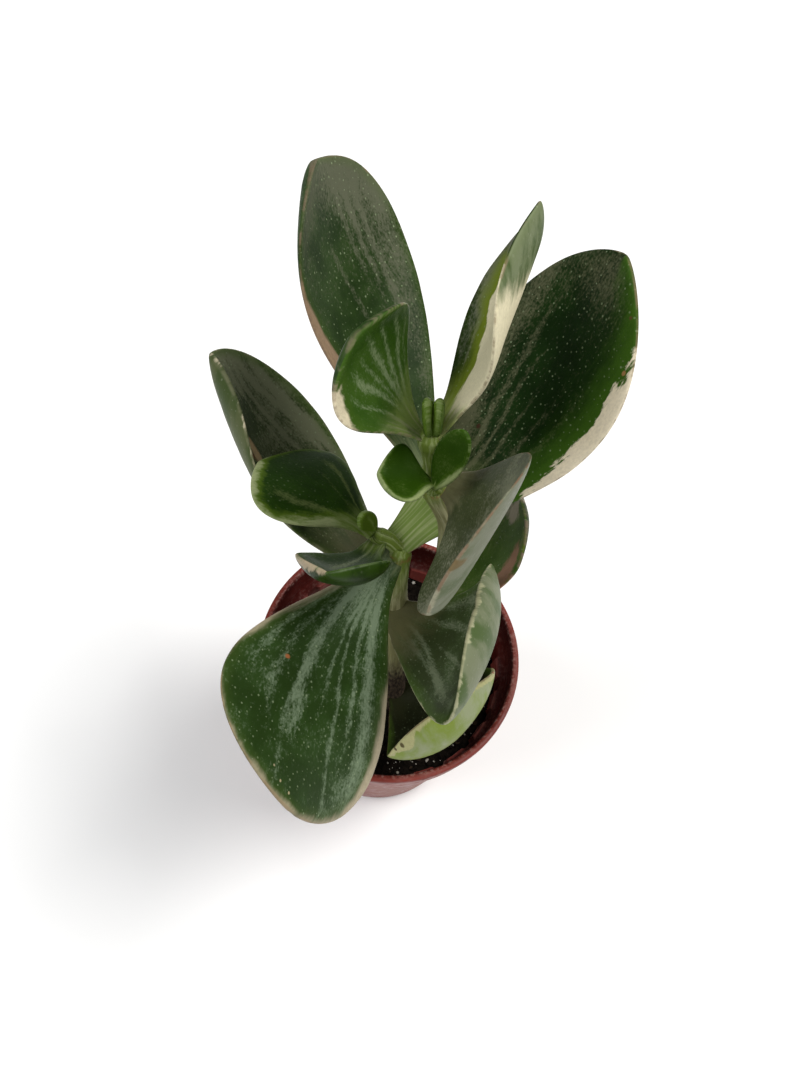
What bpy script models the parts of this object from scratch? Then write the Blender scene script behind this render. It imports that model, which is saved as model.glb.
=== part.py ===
"""A small variegated jade plant in its thin plastic nursery pot.

Metres, +Z up. The origin is the middle of the pot's foot, on the surface that the pot
stands on. -Y is the side that faces the viewer, +X is the viewer's right.
"""

import math

import bmesh
import bpy
from mathutils import Quaternion, Vector

MM = 0.001
GAP = 0.35 * MM

# Pot
POT_HEIGHT = 50.0 * MM
POT_RIM_RADIUS = 27.5 * MM
POT_COLLAR_DEPTH = 7.0 * MM
POT_COLLAR_RADIUS = 27.0 * MM
POT_SHOULDER_RADIUS = 25.9 * MM
POT_FOOT_RADIUS = 19.5 * MM
POT_WALL = 1.0 * MM
POT_LIP = 1.5 * MM
POT_FLOOR = 1.4 * MM
POT_STEPS = 48
DRAIN_HOLES = 6
DRAIN_RADIUS = 2.2 * MM
DRAIN_RING_RADIUS = 13.5 * MM

# Soil
SOIL_LEVEL = 39.0 * MM
SOIL_FOOT = 2.0 * MM
SOIL_STEPS = POT_STEPS
SOIL_RIPPLE = 0.7 * MM

# Stem nodes, where leaf pairs join
TRUNK_ROOT = Vector((2.9, -8.6, 22.0)) * MM
TRUNK_AT_SOIL = Vector((2.5, -6.9, 39.0)) * MM
TRUNK_FORK = Vector((1.1, -4.8, 56.0)) * MM
LOWER_NODE = Vector((-0.6, -2.0, 76.8)) * MM
SHORT_STEM_TOP = Vector((-1.2, 0.0, 91.8)) * MM
SIDE_SHOOT = Vector((-5.3, 0.4, 95.6)) * MM
UPPER_NODE = Vector((2.3, 2.0, 109.7)) * MM
TOP_NODE = Vector((0.6, 3.0, 119.5)) * MM
FRONT_SHOOT = Vector((2.1, -1.3, 114.5)) * MM

# Stem radii
TRUNK_RADIUS = 2.4 * MM
STEM_RADIUS = 1.9 * MM
SHOOT_RADIUS = 1.3 * MM

# Leaf mesh
LEAF_SIDES = 16
LEAF_RINGS = 19
EVEN_RINGS = 0.4  # the rest of the spacing draws the rings closer towards both ends

for old in list(bpy.data.objects):
    bpy.data.objects.remove(old, do_unlink=True)

plant = bpy.data.collections.new("potted_jade_plant")
helpers = bpy.data.collections.new("helpers")
bpy.context.scene.collection.children.link(plant)
bpy.context.scene.collection.children.link(helpers)


def paint(name, colour, roughness):
    """A plain coloured surface."""
    material = bpy.data.materials.new(name)
    material.use_nodes = True
    shader = material.node_tree.nodes["Principled BSDF"]
    shader.inputs["Base Color"].default_value = (*colour, 1.0)
    shader.inputs["Roughness"].default_value = roughness
    shader.inputs["Metallic"].default_value = 0.0
    return material


TERRACOTTA = paint("terracotta_plastic", (0.27, 0.042, 0.030), 0.48)
SOIL_BROWN = paint("dark_soil", (0.022, 0.016, 0.012), 0.95)
STEM_GREEN = paint("stem_green", (0.19, 0.24, 0.075), 0.6)
LEAF_GREEN = paint("leaf_green", (0.045, 0.095, 0.022), 0.5)
YOUNG_GREEN = paint("young_leaf_green", (0.075, 0.16, 0.018), 0.5)


def place(name, mesh, material, collection=plant):
    """Puts a mesh in the scene as a named piece, smooth where it is round."""
    item = bpy.data.objects.new(name, mesh)
    collection.objects.link(item)
    mesh.materials.clear()
    mesh.materials.append(material)
    mesh.shade_smooth()
    return item


def helper(item):
    item.hide_render = True
    item.display_type = "WIRE"


def settled(item):
    """The piece with its modifiers made part of its mesh."""
    bpy.context.view_layer.update()
    evaluated = item.evaluated_get(bpy.context.evaluated_depsgraph_get())
    mesh = bpy.data.meshes.new_from_object(evaluated)
    item.modifiers.clear()
    item.data = mesh
    return item


def boolean(item, other, operation):
    cut = item.modifiers.new(operation.lower(), "BOOLEAN")
    cut.operation = operation
    cut.solver = "EXACT"
    cut.object = other
    return settled(item)


# Turned shapes

def turned(name, profile, steps, material):
    """Spins a profile of (radius, height) points round the upright axis."""
    mesh = bpy.data.meshes.new(name)
    form = bmesh.new()
    corners = [form.verts.new((radius, 0.0, height)) for radius, height in profile]
    for first, second in zip(corners, corners[1:]):
        form.edges.new((first, second))
    form.to_mesh(mesh)
    form.free()
    item = place(name, mesh, material)
    spin = item.modifiers.new("turn", "SCREW")
    spin.steps = steps
    spin.render_steps = steps
    spin.use_merge_vertices = True
    spin.merge_threshold = 0.00001
    return settled(item)


def shoulder_z():
    return POT_HEIGHT - POT_COLLAR_DEPTH


def body_radius(height):
    """Outer radius of the tapered wall under the collar."""
    share = height / shoulder_z()
    return POT_FOOT_RADIUS + (POT_SHOULDER_RADIUS - POT_FOOT_RADIUS) * share


def build_pot():
    collar_in = POT_COLLAR_RADIUS - POT_WALL
    shoulder_in = POT_SHOULDER_RADIUS - POT_WALL
    profile = [
        (0.0, POT_FLOOR),
        (body_radius(POT_FLOOR) - POT_WALL, POT_FLOOR),
        (shoulder_in, shoulder_z() - 0.9 * MM),
        (collar_in - 0.3 * MM, shoulder_z() + 0.3 * MM),
        (POT_RIM_RADIUS - POT_LIP, POT_HEIGHT - 0.5 * MM),
        (POT_RIM_RADIUS - 0.75 * POT_LIP, POT_HEIGHT),
        (POT_RIM_RADIUS - 0.25 * POT_LIP, POT_HEIGHT),
        (POT_RIM_RADIUS, POT_HEIGHT - 0.4 * MM),
        (POT_RIM_RADIUS, POT_HEIGHT - 1.3 * MM),
        (POT_COLLAR_RADIUS, POT_HEIGHT - 1.8 * MM),
        (POT_COLLAR_RADIUS - 0.3 * MM, shoulder_z() + 0.4 * MM),
        (POT_SHOULDER_RADIUS, shoulder_z() - 0.4 * MM),
        (POT_FOOT_RADIUS, 0.5 * MM),
        (POT_FOOT_RADIUS - 0.5 * MM, 0.0),
        (0.0, 0.0),
    ]
    pot = turned("pot", profile, POT_STEPS, TERRACOTTA)
    drill = bmesh.new()
    for hole in range(DRAIN_HOLES):
        angle = math.tau * (hole + 0.5) / DRAIN_HOLES
        made = bmesh.ops.create_cone(
            drill, cap_ends=True, segments=12, depth=8 * MM,
            radius1=DRAIN_RADIUS, radius2=DRAIN_RADIUS,
        )
        middle = Vector((math.cos(angle), math.sin(angle), 0.0)) * DRAIN_RING_RADIUS
        bmesh.ops.translate(drill, verts=made["verts"], vec=middle)
    mesh = bpy.data.meshes.new("drain_drill")
    drill.to_mesh(mesh)
    drill.free()
    cutter = place("drain_drill", mesh, TERRACOTTA, helpers)
    helper(cutter)
    return boolean(pot, cutter, "DIFFERENCE")


def soil_height(x, y):
    """The gently uneven top of the soil, lower near the wall."""
    across = math.hypot(x, y) / POT_SHOULDER_RADIUS
    ripple = math.sin(330 * x + 1.3) * math.cos(290 * y - 0.4)
    ripple += 0.5 * math.sin(760 * x - 610 * y + 0.8)
    return SOIL_LEVEL + SOIL_RIPPLE * ripple * (1 - 0.5 * across) - 1.2 * MM * across ** 3


def build_soil():
    top = SOIL_LEVEL
    edge = body_radius(top) - POT_WALL - GAP
    foot = body_radius(SOIL_FOOT) - POT_WALL - GAP
    rings = 6
    profile = [(edge * ring / rings, top) for ring in range(rings)]
    profile += [(edge - 0.8 * MM, top), (edge - 0.15 * MM, top - 2.5 * MM), (foot, SOIL_FOOT)]
    profile += [(0.0, SOIL_FOOT)]
    soil = turned("soil", profile, SOIL_STEPS, SOIL_BROWN)
    for corner in soil.data.vertices:
        if corner.co.z > top - 0.1 * MM:
            corner.co.z = soil_height(corner.co.x, corner.co.y)
    return soil


# Stems

def tube(name, points, thicken=0.0, collection=plant):
    """A round stem through points, each given with its radius, or a little fatter and longer."""
    path = bpy.data.curves.new(name, "CURVE")
    path.dimensions = "3D"
    path.bevel_depth = 1.0
    path.bevel_resolution = 2
    path.resolution_u = 3
    path.use_fill_caps = True
    line = path.splines.new("BEZIER")
    line.bezier_points.add(len(points) - 1)
    route = [point for point, _ in points]
    route[0] = route[0] + (route[0] - route[1]).normalized() * thicken
    route[-1] = route[-1] + (route[-1] - route[-2]).normalized() * thicken
    for knot, place_at, (_, radius) in zip(line.bezier_points, route, points):
        knot.co = place_at
        knot.radius = radius + thicken
        knot.handle_left_type = "AUTO"
        knot.handle_right_type = "AUTO"
    curve = bpy.data.objects.new(name, path)
    collection.objects.link(curve)
    bpy.context.view_layer.update()
    evaluated = curve.evaluated_get(bpy.context.evaluated_depsgraph_get())
    mesh = bpy.data.meshes.new_from_object(evaluated)
    bpy.data.objects.remove(curve, do_unlink=True)
    form = bmesh.new()
    form.from_mesh(mesh)
    bmesh.ops.remove_doubles(form, verts=form.verts, dist=0.00001)
    bmesh.ops.recalc_face_normals(form, faces=form.faces)
    form.to_mesh(mesh)
    form.free()
    return place(name, mesh, STEM_GREEN, collection)


def trunk_points():
    return [
        (TRUNK_ROOT, 0.8 * TRUNK_RADIUS),
        (TRUNK_AT_SOIL, TRUNK_RADIUS),
        (TRUNK_FORK, 1.02 * TRUNK_RADIUS),
        (LOWER_NODE, 1.15 * STEM_RADIUS),
        ((LOWER_NODE + SHORT_STEM_TOP) / 2, STEM_RADIUS),
        (SHORT_STEM_TOP, 0.95 * STEM_RADIUS),
        (SHORT_STEM_TOP + Vector((0.0, 0.3, 1.3)) * MM, 0.6 * STEM_RADIUS),
    ]


def branch_points():
    """The taller stem: it leaves the trunk low down, bows to the right and comes back."""
    return [
        (TRUNK_FORK - Vector((0.0, 0.0, 2.5)) * MM, 0.6 * STEM_RADIUS),
        (Vector((3.7, -3.9, 68.0)) * MM, 0.9 * STEM_RADIUS),
        (Vector((5.6, -2.2, 84.0)) * MM, 0.9 * STEM_RADIUS),
        (Vector((6.4, -0.6, 95.0)) * MM, 0.9 * STEM_RADIUS),
        (Vector((5.4, 0.9, 103.0)) * MM, 0.9 * STEM_RADIUS),
        (UPPER_NODE, STEM_RADIUS),
        (Vector((1.3, 2.6, 115.0)) * MM, 0.72 * STEM_RADIUS),
        (TOP_NODE, 0.92 * STEM_RADIUS),
        (TOP_NODE + Vector((-0.1, 0.2, 1.6)) * MM, 0.55 * STEM_RADIUS),
    ]


def side_points():
    return [
        (SHORT_STEM_TOP + Vector((0.4, 0.2, -0.6)) * MM, 0.8 * SHOOT_RADIUS),
        ((SHORT_STEM_TOP + SIDE_SHOOT) / 2 + Vector((0.0, 0.2, 0.9)) * MM, SHOOT_RADIUS),
        (SIDE_SHOOT, SHOOT_RADIUS),
        (SIDE_SHOOT + Vector((-0.9, 0.0, 1.1)) * MM, 0.5 * SHOOT_RADIUS),
    ]


def front_points():
    return [
        (UPPER_NODE + Vector((0.0, 0.3, 0.4)) * MM, 0.8 * SHOOT_RADIUS),
        ((UPPER_NODE + FRONT_SHOOT) / 2, 0.85 * SHOOT_RADIUS),
        (FRONT_SHOOT, 0.9 * SHOOT_RADIUS),
        (FRONT_SHOOT + Vector((0.0, -0.5, 0.8)) * MM, 0.4 * SHOOT_RADIUS),
    ]


# Leaves

def outline(t, wide, tip, neck):
    """Half-width of a leaf, as a share of its greatest, at t from stalk to tip."""
    shoulder = wide * tip / (1.0 - wide)
    greatest = wide ** shoulder * (1.0 - wide) ** tip
    blade = t ** shoulder * (1.0 - t) ** tip / greatest
    stalk = neck * math.sqrt(1.0 - t) * math.exp(-((t / 0.35) ** 2))
    return math.hypot(blade, stalk)


def midrib(base, heading, rise, roll, length, curl, sweep, twist, count):
    """Frames along the leaf: point, forward, right and upward directions."""
    turn, lift = math.radians(heading), math.radians(rise)
    forward = Vector((
        math.sin(turn) * math.cos(lift), math.cos(turn) * math.cos(lift), math.sin(lift),
    ))
    right = Vector((math.cos(turn), -math.sin(turn), 0.0))
    face = right.cross(forward)
    face.rotate(Quaternion(forward, math.radians(roll)))
    right = forward.cross(face)
    point = base.copy()
    frames = [(point.copy(), right.copy(), face.copy())]
    for _ in range(count):
        forward.rotate(Quaternion(right, math.radians(curl) / count))
        face = right.cross(forward)
        forward.rotate(Quaternion(face, -math.radians(sweep) / count))
        right = forward.cross(face)
        face.rotate(Quaternion(forward, math.radians(twist) / count))
        right = forward.cross(face)
        forward.normalize()
        right.normalize()
        face.normalize()
        point = point + forward * (length / count)
        frames.append((point.copy(), right.copy(), face.copy()))
    return frames


def leaf(name, base, heading, rise, length, half_width, roll=0.0, curl=0.0, sweep=0.0,
         twist=0.0, cup_left=20.0, cup_right=20.0, wide=0.65, tip=0.55, neck=0.2,
         thick=2.0, material=None, rings=LEAF_RINGS, sides=LEAF_SIDES):
    """A fleshy spoon-shaped leaf, made by shaping a sphere along a curved midrib."""
    fine = 80
    frames = midrib(
        base, heading, rise, roll, length * MM, curl, sweep, twist, fine,
    )
    form = bmesh.new()
    bmesh.ops.create_uvsphere(form, u_segments=sides, v_segments=rings, radius=1.0)
    for corner in form.verts:
        x, y, z = corner.co
        pole = math.acos(max(-1.0, min(1.0, -z)))
        t = EVEN_RINGS * pole / math.pi + (1.0 - EVEN_RINGS) * (1.0 - math.cos(pole)) / 2.0
        t = max(0.0, min(1.0, t))
        ring = math.hypot(x, y)
        at_pole = ring < 1e-6
        across = 0.0 if at_pole else x / ring
        above = 0.0 if at_pole else y / ring
        step = min(int(t * fine), fine - 1)
        share = t * fine - step
        point = frames[step][0].lerp(frames[step + 1][0], share)
        right = frames[step][1].lerp(frames[step + 1][1], share)
        face = frames[step][2].lerp(frames[step + 1][2], share)
        width = half_width * MM * outline(t, wide, tip, neck)
        cup = math.radians(cup_right if across > 0 else cup_left)
        cup = cup if abs(cup) > 0.001 else 0.001
        angle = cup * abs(across)
        side = math.copysign(1.0, across)
        lateral = side * width * math.sin(angle) / cup
        rise_up = width * (1.0 - math.cos(angle)) / cup
        normal = face * math.cos(angle) - right * side * math.sin(angle)
        body = min(1.0, 1.6 * width / (half_width * MM)) ** 0.5
        swell = thick * MM / 2.0 * body * math.copysign(abs(above) ** 0.85, above)
        if at_pole:
            swell = 0.0
        corner.co = point + right * lateral + face * rise_up + normal * swell
    bmesh.ops.recalc_face_normals(form, faces=form.faces)
    bmesh.ops.triangulate(form, faces=form.faces, quad_method="SHORT_EDGE")
    mesh = bpy.data.meshes.new(name)
    form.to_mesh(mesh)
    form.free()
    return place(name, mesh, material or LEAF_GREEN)


def keep_largest(item):
    """Drops the scrap that a cut leaves on the far side of a stem."""
    form = bmesh.new()
    form.from_mesh(item.data)
    waiting = set(form.verts)
    pieces = []
    while waiting:
        piece = {waiting.pop()}
        edge_of_it = set(piece)
        while edge_of_it:
            found = {link.other_vert(v) for v in edge_of_it for link in v.link_edges}
            edge_of_it = found - piece
            piece |= edge_of_it
        waiting -= piece
        pieces.append(piece)
    pieces.sort(key=len)
    for piece in pieces[:-1]:
        bmesh.ops.delete(form, geom=list(piece), context="VERTS")
    form.to_mesh(item.data)
    form.free()
    return item


def bud_leaf(name, base, heading, rise, length, half_width, grow, **shape):
    """One of the tiny leaves at a shoot's tip, a little larger when it is a cutter."""
    return leaf(
        name, base, heading, rise, length + grow / MM, half_width + grow / MM,
        thick=1.5 + 2 * grow / MM, material=STEM_GREEN, rings=9, sides=8, **shape,
    )


def build_stems(name, grow, collection):
    """All the stems with their tiny bud leaves, as one body."""
    stems = tube(name, trunk_points(), grow, collection)
    limbs = [
        tube("tall_branch", branch_points(), grow, helpers),
        tube("side_branch", side_points(), grow, helpers),
        tube("front_branch", front_points(), grow, helpers),
        bud_leaf("bud_left", TOP_NODE + Vector((-0.3, -0.1, 0.2)) * MM,
                 -85, 78, 8.2, 1.5, grow, curl=5, cup_left=35, cup_right=35),
        bud_leaf("bud_right", TOP_NODE + Vector((0.6, 0.1, 0.3)) * MM,
                 70, 84, 8.4, 1.4, grow, curl=8, cup_left=35, cup_right=35),
        bud_leaf("bud_side", SIDE_SHOOT + Vector((-0.3, -0.6, 0.3)) * MM,
                 -53, 43, 4.9, 1.9, grow, curl=10, cup_left=25, cup_right=25),
    ]
    for limb in limbs:
        boolean(stems, limb, "UNION")
        bpy.data.objects.remove(limb, do_unlink=True)
    return stems


def build_leaves(clearance):
    """The leaves, in pairs that stand crosswise up each stem."""
    made = [
        # lowest leaf, close above the soil
        leaf("leaf_soil_front_right", Vector((2.3, -6.4, 44.9)) * MM, 125, 3, 38, 14.3,
             roll=22, curl=116, sweep=-18, twist=-20, cup_left=26, cup_right=58,
             wide=0.60, tip=0.58),
        # pair at the trunk's lower node
        leaf("leaf_front_right", Vector((-1.0, -3.7, 77.5)) * MM, 123, -3, 41.0, 13.6,
             roll=15, curl=123, sweep=-35, twist=15, cup_left=30, cup_right=16,
             wide=0.64, tip=0.58, neck=0.28),
        leaf("leaf_left", Vector((-0.8, 0.5, 79.0)) * MM, -54.5, 1, 54, 13.4,
             roll=-17, curl=65.5, sweep=-14.5, twist=65.5, cup_left=54.5, cup_right=54,
             wide=0.67, tip=0.6),
        # pair at the top of the short stem
        leaf("leaf_front_left", Vector((-1.6, 1.6, 92.6)) * MM, -156, -17.5, 47.9, 16.8,
             roll=-13, curl=47, sweep=-9.5, twist=-42.5, cup_left=-16, cup_right=-2,
             wide=0.72, tip=0.66),
        leaf("leaf_right", Vector((-2.0, 1.2, 92.6)) * MM, 41, 22, 58.2, 14.9,
             roll=-4, curl=52, sweep=12, twist=-21, cup_left=19, cup_right=2,
             wide=0.645, tip=0.72, neck=0.27),
        # pair of the side shoot
        leaf("leaf_side_front", Vector((-4.8, -0.1, 94.3)) * MM, -164, 9, 22.8, 8.2,
             roll=15.5, curl=67, sweep=-12, twist=4.5, cup_left=57, cup_right=46,
             wide=0.66, tip=0.87, neck=0.32, thick=1.7),
        leaf("leaf_side_left", Vector((-6.7, 0.1, 97.2)) * MM, -61.5, 20.5, 21.3, 12.1,
             roll=16.5, curl=-28, sweep=-7, twist=18, cup_left=1.5, cup_right=-4,
             wide=0.646, tip=0.8, thick=1.7),
        # leaf on the tall branch, low on the right
        leaf("leaf_low_right", Vector((6.2, -0.7, 80.2)) * MM, 51.5, 19, 24.2, 12.3,
             roll=-12.5, curl=43.5, sweep=-15.5, twist=-19, cup_left=27, cup_right=31,
             wide=0.625, tip=0.56, neck=0.12),
        # pair at the upper node
        leaf("leaf_back_left", Vector((2.2, 2.7, 110.3)) * MM, -34, 1, 51, 14.8,
             roll=7, curl=59, sweep=-27, twist=38, cup_left=30, cup_right=33,
             wide=0.73, tip=0.44),
        leaf("leaf_front", Vector((4.2, 2.3, 110.6)) * MM, 131, 34.5, 32.2, 14.3,
             roll=32.5, curl=58, sweep=68.5, twist=22.5, cup_left=5.5, cup_right=19,
             wide=0.645, tip=0.85, thick=1.4),
        # pair of the front shoot
        leaf("leaf_shoot_left", Vector((1.5, -1.5, 115.5)) * MM, -108, 14.5, 8.2, 5.2,
             roll=5, curl=14, sweep=8, twist=-18, cup_left=51, cup_right=43,
             wide=0.58, tip=0.77, thick=1.3, material=YOUNG_GREEN, rings=13, sides=12),
        leaf("leaf_shoot_right", Vector((2.4, -1.7, 115.7)) * MM, 35, 60.5, 10.0, 2.6,
             roll=-2, curl=15, sweep=3.5, twist=10, cup_left=22, cup_right=32,
             wide=0.54, tip=0.51, thick=1.3, material=YOUNG_GREEN, rings=13, sides=12),
        # pair at the top
        leaf("leaf_top_left", Vector((-0.7, 3.1, 119.7)) * MM, -74, 25, 21, 9.7,
             roll=22, curl=69, sweep=-22, twist=-43, cup_left=27, cup_right=16,
             wide=0.675, tip=0.51, thick=1.7),
        leaf("leaf_top_right", Vector((0.7, 3.1, 119.6)) * MM, 41.5, 46.5, 34.0, 11.2,
             roll=-28.5, curl=31.5, sweep=12.5, twist=-51, cup_left=50, cup_right=7,
             wide=0.64, tip=1.04, thick=1.7),
    ]
    for blade in made:
        keep_largest(boolean(blade, clearance, "DIFFERENCE"))
    return made


build_pot()
ground = build_soil()
build_stems("main_stem", 0.0, plant)
room = build_stems("stem_room", GAP, helpers)
helper(room)
boolean(ground, room, "DIFFERENCE")
build_leaves(room)
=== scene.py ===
"""The looks of a small variegated jade plant in its nursery pot.

Metres, +Z up. Every piece stands for a node of the fixed frame and keeps that node's form.
Finishes take colours as linear light in thousandths. Streaks, painted sheen patches and cream
stops give places along and across a leaf in per cent.
"""

import math
import random

import bmesh
import bpy
from mathutils import Matrix, Quaternion, Vector, noise


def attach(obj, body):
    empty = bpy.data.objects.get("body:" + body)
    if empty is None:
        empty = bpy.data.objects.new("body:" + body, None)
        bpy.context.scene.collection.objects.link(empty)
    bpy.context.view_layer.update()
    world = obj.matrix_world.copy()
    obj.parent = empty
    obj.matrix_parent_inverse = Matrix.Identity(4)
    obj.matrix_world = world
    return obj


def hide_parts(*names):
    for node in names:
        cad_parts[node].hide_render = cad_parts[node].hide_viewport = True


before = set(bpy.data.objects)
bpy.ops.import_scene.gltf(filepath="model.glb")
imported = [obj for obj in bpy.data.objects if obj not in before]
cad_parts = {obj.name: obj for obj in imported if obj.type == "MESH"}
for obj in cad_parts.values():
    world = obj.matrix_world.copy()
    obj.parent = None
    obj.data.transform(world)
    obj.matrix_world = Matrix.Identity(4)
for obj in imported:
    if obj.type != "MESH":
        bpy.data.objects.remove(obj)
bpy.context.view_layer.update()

MM = 0.001


def mm(*place):
    """A point given in millimetres."""
    return Vector(place) * MM


# Pot sizes
POT_HEIGHT = 50.0 * MM
POT_RIM_RADIUS = 27.5 * MM
POT_COLLAR_DEPTH = 7.0 * MM
POT_COLLAR_RADIUS = 27.0 * MM
POT_SHOULDER_RADIUS = 25.9 * MM
POT_FOOT_RADIUS = 19.5 * MM
POT_WALL = 1.0 * MM
POT_LIP = 1.5 * MM
LIP_SHAPE = ((1.55, 1.2), (1.5, 0.5), (1.35, 0.15), (1.125, 0.0), (0.375, 0.0), (0.12, 0.12),
             (0.0, 0.4), (0.0, 1.3), (0.1, 1.6))
POT_FLOOR = 1.4 * MM
POT_STEPS = 240
STACKING_LUGS = 20
LUG_TOP = POT_HEIGHT - POT_COLLAR_DEPTH - 0.9 * MM
LUG_FOOT = LUG_TOP - 5.0 * MM
LUG_DEPTH = 0.6 * MM
DRAIN_HOLES = 6
DRAIN_RADIUS = 2.2 * MM
DRAIN_RING_RADIUS = 13.5 * MM

# Soil
SOIL_LEVEL = 39.0 * MM
SOIL_FOOT = 2.0 * MM
SOIL_STEPS = 160
SOIL_RIPPLE = 0.7 * MM
CRUMBS = 1500
PERLITE_GRAINS = 70
WALL_GRAINS = 70
WALL_GRAIN_ARC = (math.radians(-80.0), math.radians(10.0))

# Stem nodes
TRUNK_ROOT = mm(2.9, -8.6, 22.0)
TRUNK_AT_SOIL = mm(2.5, -6.9, 39.0)
TRUNK_FORK = mm(1.1, -4.8, 56.0)
LOWER_NODE = mm(-0.6, -2.0, 76.8)
SHORT_STEM_TOP = mm(-1.2, 0.0, 91.8)
SIDE_SHOOT = mm(-5.3, 0.4, 95.6)
UPPER_NODE = mm(2.3, 2.0, 109.7)
TOP_NODE = mm(0.6, 3.0, 119.5)
FRONT_SHOOT = mm(2.1, -1.3, 114.5)
TRUNK_RADIUS = 2.4 * MM
STEM_RADIUS = 1.9 * MM
SHOOT_RADIUS = 1.3 * MM

# Camera
CAMERA_PLACE = mm(0.0, -66.2, 209.6)
CAMERA_PITCH = math.radians(59.7)
CAMERA_ROLL = math.radians(9.4)
CAMERA_PAN = math.radians(-0.6)
CAMERA_LENS = 27.07
FILM_HEIGHT = 36.0


# Finishes

class Finish:
    """A procedural material, built up one layer at a time."""

    def __init__(self, name, roughness, specular):
        self.material = bpy.data.materials.new(name)
        self.material.use_nodes = True
        self.tree = self.material.node_tree
        self.shader = self.tree.nodes["Principled BSDF"]
        self.shader.inputs["Roughness"].default_value = roughness
        self.shader.inputs["Specular IOR Level"].default_value = specular
        self.place = self.add("ShaderNodeTexCoord").outputs["Object"]

    def add(self, kind, **settings):
        node = self.tree.nodes.new(kind)
        for key, value in settings.items():
            setattr(node, key, value)
        return node

    def feed(self, socket, source):
        if isinstance(source, bpy.types.NodeSocket):
            self.tree.links.new(source, socket)
        elif isinstance(source, tuple) and socket.type == "RGBA":
            socket.default_value = (*(part / 1000.0 for part in source), 1.0)
        else:
            socket.default_value = source

    def attribute(self, name):
        return self.add("ShaderNodeAttribute", attribute_name=name).outputs["Fac"]

    def maths(self, operation, first, second=0.0):
        node = self.add("ShaderNodeMath", operation=operation)
        self.feed(node.inputs[0], first)
        self.feed(node.inputs[1], second)
        return node.outputs[0]

    def times(self, first, second):
        return self.maths("MULTIPLY", first, second)

    def plus(self, first, second):
        return self.maths("ADD", first, second)

    def rise(self, value, start, end, low=0.0, high=1.0):
        """A smooth step from low to high as value goes from start to end."""
        node = self.add("ShaderNodeMapRange", interpolation_type="SMOOTHSTEP")
        settings = zip(("Value", "From Min", "From Max", "To Min", "To Max"),
                       (value, start, end, low, high))
        for name, given in settings:
            self.feed(node.inputs[name], given)
        return node.outputs["Result"]

    def blend(self, share, below, above):
        node = self.add("ShaderNodeMix", data_type="RGBA", clamp_factor=True)
        self.feed(node.inputs[0], share)
        self.feed(node.inputs[6], below)
        self.feed(node.inputs[7], above)
        return node.outputs[2]

    def join(self, x, y, z=0.0):
        node = self.add("ShaderNodeCombineXYZ")
        for socket, given in zip(node.inputs, (x, y, z)):
            self.feed(socket, given)
        return node.outputs[0]

    def split(self, vector):
        node = self.add("ShaderNodeSeparateXYZ")
        self.feed(node.inputs[0], vector)
        return node.outputs

    def grain(self, vector, scale, detail=3.0, roughness=0.55):
        node = self.add("ShaderNodeTexNoise")
        self.feed(node.inputs["Vector"], vector)
        node.inputs["Scale"].default_value = scale
        node.inputs["Detail"].default_value = detail
        node.inputs["Roughness"].default_value = roughness
        return node.outputs["Fac"]

    def cells(self, vector, scale):
        node = self.add("ShaderNodeTexVoronoi", voronoi_dimensions="2D")
        self.feed(node.inputs["Vector"], vector)
        node.inputs["Scale"].default_value = scale
        return node.outputs["Distance"], node.outputs["Color"]

    def distance(self, first, second):
        node = self.add("ShaderNodeVectorMath", operation="DISTANCE")
        self.feed(node.inputs[0], first)
        self.feed(node.inputs[1], second)
        return node.outputs["Value"]

    def finished(self, colour, roughness=None, height=None, depth=0.0):
        """The material with its colour, its roughness and its relief, depth in millimetres."""
        self.feed(self.shader.inputs["Base Color"], colour)
        if roughness is not None:
            self.feed(self.shader.inputs["Roughness"], roughness)
        if height is not None:
            bump = self.add("ShaderNodeBump")
            bump.inputs["Distance"].default_value = depth * MM
            bump.inputs["Strength"].default_value = 1.0
            self.feed(bump.inputs["Height"], height)
            self.feed(self.shader.inputs["Normal"], bump.outputs["Normal"])
        return self.material


STALK_STRIPE = (270, 290, 150)
WAX_DOT = (270, 340, 190)
WAX_DOT_BELOW = (300, 320, 220)

# Marks that the meshes carry for their finishes; one leaf mark holds the patches of painted sheen
LEAF_MARKS = ("fan", "along", "edge", "cream", "painted_sheen", "upper")
POT_MARKS = ("outside", "rim", "lug", "lip_edge")
STEM_MARKS = ("around", "reach", "joint", "youth")


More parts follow.
